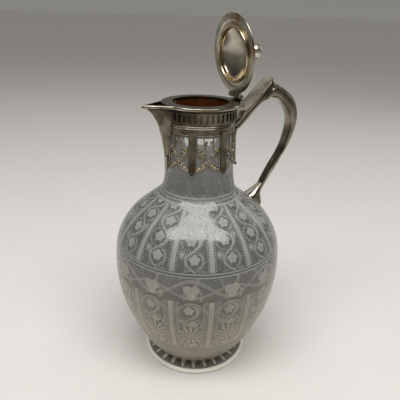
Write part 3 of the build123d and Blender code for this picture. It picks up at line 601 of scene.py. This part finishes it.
# Cut glass, polished with felt: clear, with a pale bloom of frost, and more of it as painted highlights
# where the cuts catch the light.
cut_glass, tree = new_material("polished_cut_glass")
where = add(tree, "ShaderNodeTexCoord").outputs["Object"]
haze = add(tree, "ShaderNodeTexNoise", {"Vector": where, "Scale": mm_scale(16.67), "Detail": 4.0})
soft = add(tree, "ShaderNodeMapRange", {0: haze, 3: 0.05, 4: 0.16})
glass = add(
    tree,
    "ShaderNodeBsdfPrincipled",
    {"Base Color": linear("#d6d4d0"), "Roughness": soft, "IOR": 1.5, "Transmission Weight": 1.0},
)
bloom_and_highlight = add(
    tree, "ShaderNodeBsdfPrincipled", {"Base Color": linear("#ece7da"), "Roughness": 0.25, "IOR": 1.5}
)
frost_and_painted_highlight = add(tree, "ShaderNodeAttribute", attribute_name="frost_and_painted_highlight").outputs["Fac"]
patchy = add(tree, "ShaderNodeMapRange", {0: haze, 3: 0.8, 4: 1.2})
veil = add(tree, "ShaderNodeMath", {0: frost_and_painted_highlight, 1: patchy}, operation="MULTIPLY")
veiled_glass = add(tree, "ShaderNodeMixShader", {0: veil, 1: glass, 2: bloom_and_highlight})
add(tree, "ShaderNodeOutputMaterial", {0: veiled_glass})
underside = [(radius, 0.0) for radius in star_radii]
shape = lathe(underside + smoothed(foot_line, 4), flute_count * steps_per_flute)
frost_and_highlight_share = shape.verts.layers.float.new("frost_and_painted_highlight")
for vert in shape.verts:
    radius = vert.co.xy.length * 1000
    height = vert.co.z * 1000
    turn = math.atan2(vert.co.y, vert.co.x) / (2 * math.pi)
    # Painted highlight: the rim gets more pale bloom.
    vert[frost_and_highlight_share] = plain_frost + rim_painted_highlight * max(0.0, min(1.0, radius - rim_start))
    if height > flute_floor and flute_start < radius < flute_end:
        run = (radius - flute_start) / (flute_end - flute_start)
        lean = ((turn * flute_count) % 1 - 0.5) * 2
        width = flute_width * (1 - run) ** 0.7
        hollow = max(0.0, 1 - (lean / width) ** 2)
        vert.co.z -= flute_depth * hollow * (0.35 + 0.65 * run) / 1000
        # Painted highlight: one wall of each flute gets more pale bloom, as if lit from that side.
        vert[frost_and_highlight_share] += flute_wall_painted_highlight * min(1.0, 2 * hollow) * max(0.0, min(1.0, 0.9 - lean / width))
    elif height < underside_top and star_start < radius < star_end:
        aside = abs((turn * star_count) % 1 - 0.5) * 2
        vert.co.z += star_depth * max(0.0, 1 - aside * radius / 6) / 1000
glass_foot = new_piece("cut_foot", shape, cut_glass)
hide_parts("glass_foot")
dress(cut_glass, "handle_peg")

# ------------------------------------------------------------- plaster bedding
# Off-white plaster of Paris, poured between the glass and the metal at the neck
# and in the handle's socket, where it set hard. It is matt and faintly pitted.
plaster, tree = new_material("plaster_of_paris")
where = add(tree, "ShaderNodeTexCoord").outputs["Object"]
pits = add(tree, "ShaderNodeTexNoise", {"Vector": where, "Scale": mm_scale(1.111), "Detail": 3.0})
shade = add(tree, "ShaderNodeMix", {0: pits, 6: linear("#d9d4c8"), 7: linear("#c4bdae")}, data_type="RGBA")
bumps = add(tree, "ShaderNodeBump", {"Height": pits, "Strength": 0.3, "Distance": 0.0001})
chalk = add(
    tree, "ShaderNodeBsdfPrincipled", {"Base Color": shade.outputs[2], "Roughness": 0.85, "Normal": bumps}
)
add(tree, "ShaderNodeOutputMaterial", {0: chalk})
dress(plaster, "neck_cement", "socket_plaster")

# -------------------------------------------------------------- polished silver
# Sterling silver, cast or drawn as wire and soldered, then polished and worn by
# hand: the rim, wires, hinge and handle. A warm grey mirror with fine rubbing
# marks, dull patches, and brown tarnish and painted shade in the recesses.


def mottled(tree, pattern, start, end, first, second):
    """Colour that goes from the first to the second as a pattern rises from start to end."""
    share = add(tree, "ShaderNodeMapRange", {0: pattern, 1: start, 2: end})
    colours = add(tree, "ShaderNodeMix", {0: share, 6: first, 7: second}, data_type="RGBA")
    return colours.outputs[2]


def tarnish_and_shade_in_hollows(tree, metal, hollow, depth, least):
    """A metal's colour, that turns to the hollow's where surfaces within depth mm close it in: tarnish, and
    painted shade.
    """
    shelter = add(tree, "ShaderNodeAmbientOcclusion", {"Distance": depth / 1000}, samples=8)
    return mottled(tree, shelter.outputs["AO"], least, 0.95, linear(hollow), metal)


silver, tree = new_material("worn_polished_silver")
where = add(tree, "ShaderNodeTexCoord").outputs["Object"]
rubbing = add(
    tree, "ShaderNodeTexNoise", {"Vector": where, "Scale": mm_scale(2.857), "Detail": 6.0, "Roughness": 0.7}
)
patches = add(tree, "ShaderNodeTexNoise", {"Vector": where, "Scale": mm_scale(14.29), "Detail": 3.0})
metal = mottled(tree, patches, 0.36, 0.64, linear("#aba394"), linear("#6b6354"))
gloss = add(tree, "ShaderNodeMapRange", {0: rubbing, 3: 0.08, 4: 0.22})
dents = add(tree, "ShaderNodeBump", {"Height": patches, "Strength": 0.12, "Distance": 0.0004})
# Painted shade with the brown tarnish: the colour darkens where surfaces within 4 mm close it in.
mirror = add(
    tree,
    "ShaderNodeBsdfPrincipled",
    {
        "Base Color": tarnish_and_shade_in_hollows(tree, metal, "#43392b", 4.0, 0.25),
        "Metallic": 1.0,
        "Roughness": gloss,
        "Normal": dents,
    },
)
add(tree, "ShaderNodeOutputMaterial", {0: mirror})
dress(
    silver,
    "rim_flange",
    "upper_wire",
    "lower_wire",
    "spout_keel",
    "spout_drop",
    "hinge_block",
    "hinge_pin",
    "thumb_plate",
    "plate_moulding",
    "handle_socket",
    "handle_drop",
)

# ------------------------------------------------------------- collar and spout
# Sheet silver, seamed and soldered: the sleeve, its slotted band, the straps and
# the hollow spout. It was left unpolished, so olive-brown tarnish lies over most
# of it and blurs what it mirrors, and painted shade darkens its hollows.
pilaster_count = 6
pilaster_names = [f"pilaster_{index + 1}" for index in range(pilaster_count)]
tarnished, tree = new_material("tarnished_silver")
where = add(tree, "ShaderNodeTexCoord").outputs["Object"]
stains = add(
    tree,
    "ShaderNodeTexNoise",
    {"Vector": where, "Scale": mm_scale(18.18), "Detail": 5.0, "Roughness": 0.65},
)
metal = mottled(tree, stains, 0.36, 0.62, linear("#827a6b"), linear("#443c2f"))
gloss = add(tree, "ShaderNodeMapRange", {0: stains, 3: 0.16, 4: 0.34})
dents = add(tree, "ShaderNodeBump", {"Height": stains, "Strength": 0.15, "Distance": 0.0003})
# Painted shade with the tarnish: the colour turns near black where surfaces within 6 mm close it in.
dull = add(
    tree,
    "ShaderNodeBsdfPrincipled",
    {
        "Base Color": tarnish_and_shade_in_hollows(tree, metal, "#2a2318", 6.0, 0.3),
        "Metallic": 1.0,
        "Roughness": gloss,
        "Normal": dents,
    },
)
add(tree, "ShaderNodeOutputMaterial", {0: dull})
dress(tarnished, "spout_shell", "collar_sleeve", "fluted_band", *pilaster_names)

# ---------------------------------------------------------------- pierced skirt
# Cast silver scrollwork in seven bays between the pilasters, with a forked stem,
# leaves and curls in each. Half a bay is drawn flat as smooth curves, mirrored,
# and bent round the neck.
skirt_top, skirt_foot = 200.8, 173.0
skirt_top_radius, skirt_foot_radius = 26.2, 27.4
skirt_wall = 0.7
bay_count = 7
strap_half = 0.6
stem_half = 0.36
leaf_swell = 0.6
leaf_notch = 0.3
leaf_points = 5
# Each stroke of half a bay: (mm from the bay's centre, mm of height) points.
frame_strokes = [
    [(0.0, 200.3), (4.0, 200.3), (9.4, 200.3), (12.0, 200.3)],
    [(9.0, 200.3), (9.0, 192.0), (9.0, 182.0), (9.0, 174.4)],
    [(0.0, 179.4), (1.6, 178.2), (4.0, 175.8), (6.4, 174.2), (9.0, 173.7), (12.0, 173.7)],
]
scroll_strokes = [
    [(3.9, 200.4), (3.7, 196.5), (3.0, 192.6), (2.7, 189.6), (3.6, 188.0)],
    [(6.9, 188.4), (6.2, 190.4), (4.6, 190.5), (4.1, 188.9), (5.2, 188.0), (5.8, 189.0)],
    [(7.8, 186.4), (5.8, 187.6), (3.4, 187.2), (1.4, 185.4), (0.35, 182.4), (0.6, 179.8), (2.2, 177.8)],
    [(6.6, 184.2), (5.6, 185.8), (3.8, 185.4), (3.6, 183.2), (5.0, 182.2), (6.0, 183.2)],
    [(3.3, 195.8), (1.8, 197.0), (0.9, 195.4), (1.9, 194.0), (2.5, 195.0)],
    [(9.0, 191.0), (8.2, 188.8), (7.8, 186.4)],
    [(5.4, 176.6), (6.0, 178.6), (5.2, 180.0), (4.2, 179.2), (4.8, 178.2)],
]
# Each leaf: mm from the bay's centre, mm of height, half its width and half its length.
leaf_spots = [
    (6.9, 189.8, 1.4, 1.5), (3.5, 188.4, 1.1, 1.5), (3.9, 184.8, 0.9, 1.2), (0.0, 182.6, 1.0, 1.6),
    (3.3, 178.0, 1.9, 1.2), (5.4, 176.2, 2.1, 1.2), (7.6, 175.2, 1.6, 1.0), (1.2, 180.2, 1.3, 1.0),
]


def around_neck(flat, height, proud):
    """Place on the skirt of a point drawn flat, in mm, on the bay whose centre faces +X."""
    share = (skirt_top - height) / (skirt_top - skirt_foot)
    radius = skirt_top_radius + (skirt_foot_radius - skirt_top_radius) * share - skirt_wall / 2 + proud
    angle = flat / skirt_top_radius
    return Vector((radius * math.cos(angle), radius * math.sin(angle), height)) / 1000


def stroked(strokes, half_width):
    """Flat tubes along smooth curves, as a bmesh with x across, y up and z outward, in mm."""
    curve = bpy.data.curves.new("strokes", "CURVE")
    curve.dimensions = "3D"
    curve.bevel_depth = half_width
    curve.bevel_resolution = 1
    curve.resolution_u = 5
    curve.use_fill_caps = True
    for stroke in strokes:
        spline = curve.splines.new("NURBS")
        spline.points.add(len(stroke) - 1)
        for point, (flat, height) in zip(spline.points, stroke):
            point.co = (flat, height, 0, 1)
        spline.order_u = 3
        spline.use_endpoint_u = True
    drawing = bpy.data.objects.new("strokes", curve)
    mesh = bpy.data.meshes.new_from_object(drawing)
    drawn = bmesh.new()
    drawn.from_mesh(mesh)
    bpy.data.objects.remove(drawing)
    bpy.data.meshes.remove(mesh)
    bmesh.ops.scale(drawn, verts=drawn.verts, vec=(1, 1, skirt_wall / (2 * half_width)))
    return drawn


half_bay = stroked(frame_strokes, strap_half)
thin = bpy.data.meshes.new("thin_strokes")
lines = stroked(scroll_strokes, stem_half)
lines.to_mesh(thin)
lines.free()
half_bay.from_mesh(thin)
bpy.data.meshes.remove(thin)
for flat, height, wide, tall in leaf_spots:
    petal = bmesh.ops.create_icosphere(half_bay, subdivisions=2, radius=1.0)["verts"]
    for vert in petal:
        points = math.cos(leaf_points * math.atan2(vert.co.x, vert.co.y))
        lobe = 1 + leaf_notch * points * vert.co.xy.length
        proud = vert.co.z * skirt_wall * leaf_swell
        vert.co = (flat + vert.co.x * wide * lobe, height + vert.co.y * tall * lobe, proud)
drawn_half = half_bay.verts[:] + half_bay.edges[:] + half_bay.faces[:]
mirrored = bmesh.ops.duplicate(half_bay, geom=drawn_half)["geom"]
twins = [part for part in mirrored if isinstance(part, bmesh.types.BMVert)]
bmesh.ops.scale(half_bay, verts=twins, vec=(-1, 1, 1))
for vert in half_bay.verts:
    vert.co = around_neck(vert.co.x, vert.co.y, vert.co.z)
bay_mesh = bpy.data.meshes.new("one_bay")
half_bay.to_mesh(bay_mesh)
half_bay.free()
shape = bmesh.new()
for bay in range(bay_count):
    older = len(shape.verts)
    shape.from_mesh(bay_mesh)
    shape.verts.ensure_lookup_table()
    turn = Matrix.Rotation(math.pi + (bay + 0.5) * 2 * math.pi / bay_count, 3, "Z")
    bmesh.ops.rotate(shape, verts=shape.verts[older:], cent=(0, 0, 0), matrix=turn)
bpy.data.meshes.remove(bay_mesh)
bmesh.ops.recalc_face_normals(shape, faces=shape.faces)

# The cast tops are rubbed and warm, and the hollows between them are nearly black with tarnish and painted
# shade.
rubbed, tree = new_material("rubbed_silver")
where = add(tree, "ShaderNodeTexCoord").outputs["Object"]
stains = add(tree, "ShaderNodeTexNoise", {"Vector": where, "Scale": mm_scale(4.167), "Detail": 4.0})
metal = mottled(tree, stains, 0.0, 1.0, linear("#c6bba0"), linear("#5c523d"))
# Painted shade with the tarnish: near black where surfaces within 0.8 mm close it in.
bright_metal = add(
    tree,
    "ShaderNodeBsdfPrincipled",
    {
        "Base Color": tarnish_and_shade_in_hollows(tree, metal, "#33291b", 0.8, 0.45),
        "Metallic": 1.0,
        "Roughness": 0.14,
    },
)
add(tree, "ShaderNodeOutputMaterial", {0: bright_metal})
skirt = new_piece("pierced_scrollwork", shape, rubbed)
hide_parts("pierced_skirt")

# ------------------------------------------------------------------ handle loop
# Cast silver strap, flat inside and rounded on its back, with two incised lines
# down each side. It rises as a bar under the thumb plate, crowns over and tapers
# down to its socket. Sections stand along it and are bridged.
# Stations: back x and z, inner face x and z, half width, in mm.
handle_stations = [
    (31.0, 199.2, 32.3, 197.9, 4.7),
    (39.2, 207.3, 40.5, 205.9, 4.7),
    (48.5, 216.4, 49.8, 215.1, 4.7),
    (54.9, 222.7, 57.0, 218.2, 4.7),
    (62.3, 230.0, 64.5, 219.2, 4.7),
    (72.4, 227.0, 70.0, 216.6, 4.7),
    (82.8, 220.0, 76.8, 210.5, 4.7),
    (87.8, 212.5, 80.4, 204.8, 4.7),
    (90.0, 203.0, 81.8, 198.5, 4.7),
    (88.9, 193.0, 81.2, 190.8, 4.6),
    (85.6, 183.5, 79.0, 181.8, 4.5),
    (80.2, 174.0, 74.9, 172.6, 4.3),
    (70.5, 157.3, 66.3, 160.1, 3.8),
    (62.0, 145.0, 58.7, 147.1, 3.2),
]
# Half of a section: share of the way from inner face to back, share of the half width.
handle_section = [
    (0.0, 0.0), (0.0, 0.7), (0.03, 0.88), (0.09, 0.99), (0.125, 0.98), (0.15, 0.74), (0.175, 0.98),
    (0.3, 1.0), (0.48, 1.0), (0.62, 0.97), (0.71, 0.92), (0.74, 0.64), (0.77, 0.86), (0.88, 0.68),
    (0.96, 0.36), (1.0, 0.0),
]
whole_section = handle_section + [(depth, -side) for depth, side in handle_section[-2:0:-1]]
shape = bmesh.new()
loops = []
for back_x, back_z, inner_x, inner_z, half in smoothed(handle_stations, 6):
    inner, back = Vector((inner_x, 0, inner_z)), Vector((back_x, 0, back_z))
    ring = []
    for depth, side in whole_section:
        spot = inner.lerp(back, depth) + Vector((0, side * half, 0))
        ring.append(shape.verts.new(spot / 1000))
    loops.append([shape.edges.new((ring[k - 1], ring[k])) for k in range(len(ring))])
for first, second in zip(loops, loops[1:]):
    bmesh.ops.bridge_loops(shape, edges=first + second)
for end in (loops[0], loops[-1]):
    bmesh.ops.contextual_create(shape, geom=end)
bmesh.ops.recalc_face_normals(shape, faces=shape.faces)
handle = new_piece("handle_strap", shape, silver)
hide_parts("handle_loop")

# ------------------------------------------------------------------ gilt inside
# Fire-gilt silver inside the mouth and on the lid's bezel, in random blotches
# of deep yellow-brown and of paler gold where handling has thinned it.


def gilding(name, blotch, rich, worn, roughness):
    """Fire-gilt silver in two tones of gold, in blotches of this many mm."""
    material, tree = new_material(name)
    where = add(tree, "ShaderNodeTexCoord").outputs["Object"]
    wear = add(tree, "ShaderNodeTexNoise", {"Vector": where, "Scale": mm_scale(blotch), "Detail": 4.0})
    gold = add(tree, "ShaderNodeMix", {0: wear, 6: linear(rich), 7: linear(worn)}, data_type="RGBA")
    sheen = add(
        tree,
        "ShaderNodeBsdfPrincipled",
        {"Base Color": gold.outputs[2], "Metallic": 1.0, "Roughness": roughness},
    )
    add(tree, "ShaderNodeOutputMaterial", {0: sheen})
    return material


gilt = gilding("silver_gilt", 16.67, "#f8cf92", "#cf9556", 0.2)
pale_gilt = gilding("thinned_silver_gilt", 11.11, "#cbbea3", "#96815c", 0.22)
dress(gilt, "gilt_liner")

# -------------------------------------------------------------------------- lid
# Spun silver, open at its rest 85 degrees up: a thin plate with a rolled edge
# and a stepped underside, a gilt bezel of two beads, a dome, and a ball finial
# on a turned collet. Lathed shut, in mm, and swung up about the hinge, whose joint
# goes from this rest at 0 to shut at its limit. Its place is in metres.
hinge = frame["joints"][0]
hinge_place = Vector(hinge["pos_m"])
lid_swing = Matrix.Rotation(math.radians(hinge["range_deg"][1]), 3, "Y")
lid_foot = 220.1
lid_head = 221.1
lid_steps = 96
dome_radius = 21.6
dome_hollow_radius = 20.16
dome_rise = 9.6
dome_wall = 0.9

# Spun silver that has clouded: a soft-edged pale bloom over grey, and brown stains.
clouded, tree = new_material("clouded_silver")
where = add(tree, "ShaderNodeTexCoord").outputs["Object"]
clouds = add(
    tree, "ShaderNodeTexNoise", {"Vector": where, "Scale": mm_scale(25.0), "Detail": 3.0, "Distortion": 0.3}
)
stains = add(
    tree, "ShaderNodeTexNoise", {"Vector": where, "Scale": mm_scale(22.22), "Detail": 5.0, "Roughness": 0.6}
)
metal = mottled(tree, clouds, 0.34, 0.66, linear("#8f8777"), linear("#d0cabb"))
dents = add(tree, "ShaderNodeBump", {"Height": clouds, "Strength": 0.15, "Distance": 0.0006})
soft_mirror = add(
    tree,
    "ShaderNodeBsdfPrincipled",
    {
        "Base Color": mottled(tree, stains, 0.55, 0.72, metal, linear("#7b5c36")),
        "Metallic": 1.0,
        "Roughness": 0.24,
        "Normal": dents,
    },
)
add(tree, "ShaderNodeOutputMaterial", {0: soft_mirror})
dress(clouded, "lid_leaf", "finial_collet", "finial_ball")


def lid_lathe(name, outline, material, replaced):
    """Turned piece of the lid, lathed shut and swung open about the hinge."""
    turned = lathe(outline, lid_steps)
    bmesh.ops.rotate(turned, verts=turned.verts, cent=hinge_place, matrix=lid_swing)
    piece = new_piece(name, turned, material, body="lid")
    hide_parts(replaced)


plate_line = smoothed(
    [
        (20.0, lid_head), (19.9, lid_foot + 0.6), (20.4, lid_foot + 0.4), (22.6, lid_foot + 0.4),
        (23.4, lid_foot + 0.2), (24.0, lid_foot + 0.02), (25.0, lid_foot), (27.2, lid_foot + 0.02),
        (28.1, lid_foot + 0.12), (28.5, lid_foot + 0.45), (28.2, lid_head - 0.15), (27.2, lid_head),
        (25.0, lid_head), (22.0, lid_head), (20.0, lid_head),
    ],
    4,
)
lid_lathe("lid_plate_spun", plate_line, clouded, "lid_plate")
bead_line = [
    (20.3, lid_foot + 0.5), (20.5, lid_foot), (20.5, lid_foot - 0.5), (20.2, lid_foot - 1.0),
    (19.9, lid_foot - 1.0), (19.7, lid_foot - 0.6), (19.5, lid_foot - 0.5), (19.3, lid_foot - 0.7),
    (19.0, lid_foot - 0.8), (18.8, lid_foot - 0.5), (18.75, lid_foot + 0.6), (18.6, lid_foot + 1.6),
    (18.3, lid_foot + 2.3), (18.3, lid_foot + 2.6), (18.7, lid_foot + 2.5), (19.2, lid_foot + 1.6),
    (19.8, lid_foot + 1.0), (20.3, lid_foot + 0.5),
]
lid_lathe("lid_bezel_beads", smoothed(bead_line, 4), pale_gilt, "lid_bezel")


def cap_line(radius, rise, base, steps):
    """Points of a spherical cap's arc from its rim to its crown."""
    ball = (radius * radius + rise * rise) / (2 * rise)
    reach = math.asin(radius / ball)
    angles = [reach * (1 - step / steps) for step in range(steps + 1)]
    return [(ball * math.sin(angle), base + rise - ball + ball * math.cos(angle)) for angle in angles]


dome_top = cap_line(dome_radius, dome_rise, lid_head, 24)
dome_hollow = cap_line(dome_hollow_radius, dome_rise - dome_wall, lid_head, 24)
lid_lathe("lid_dome_spun", dome_top + dome_hollow[::-1] + [dome_top[0]], clouded, "lid_dome")
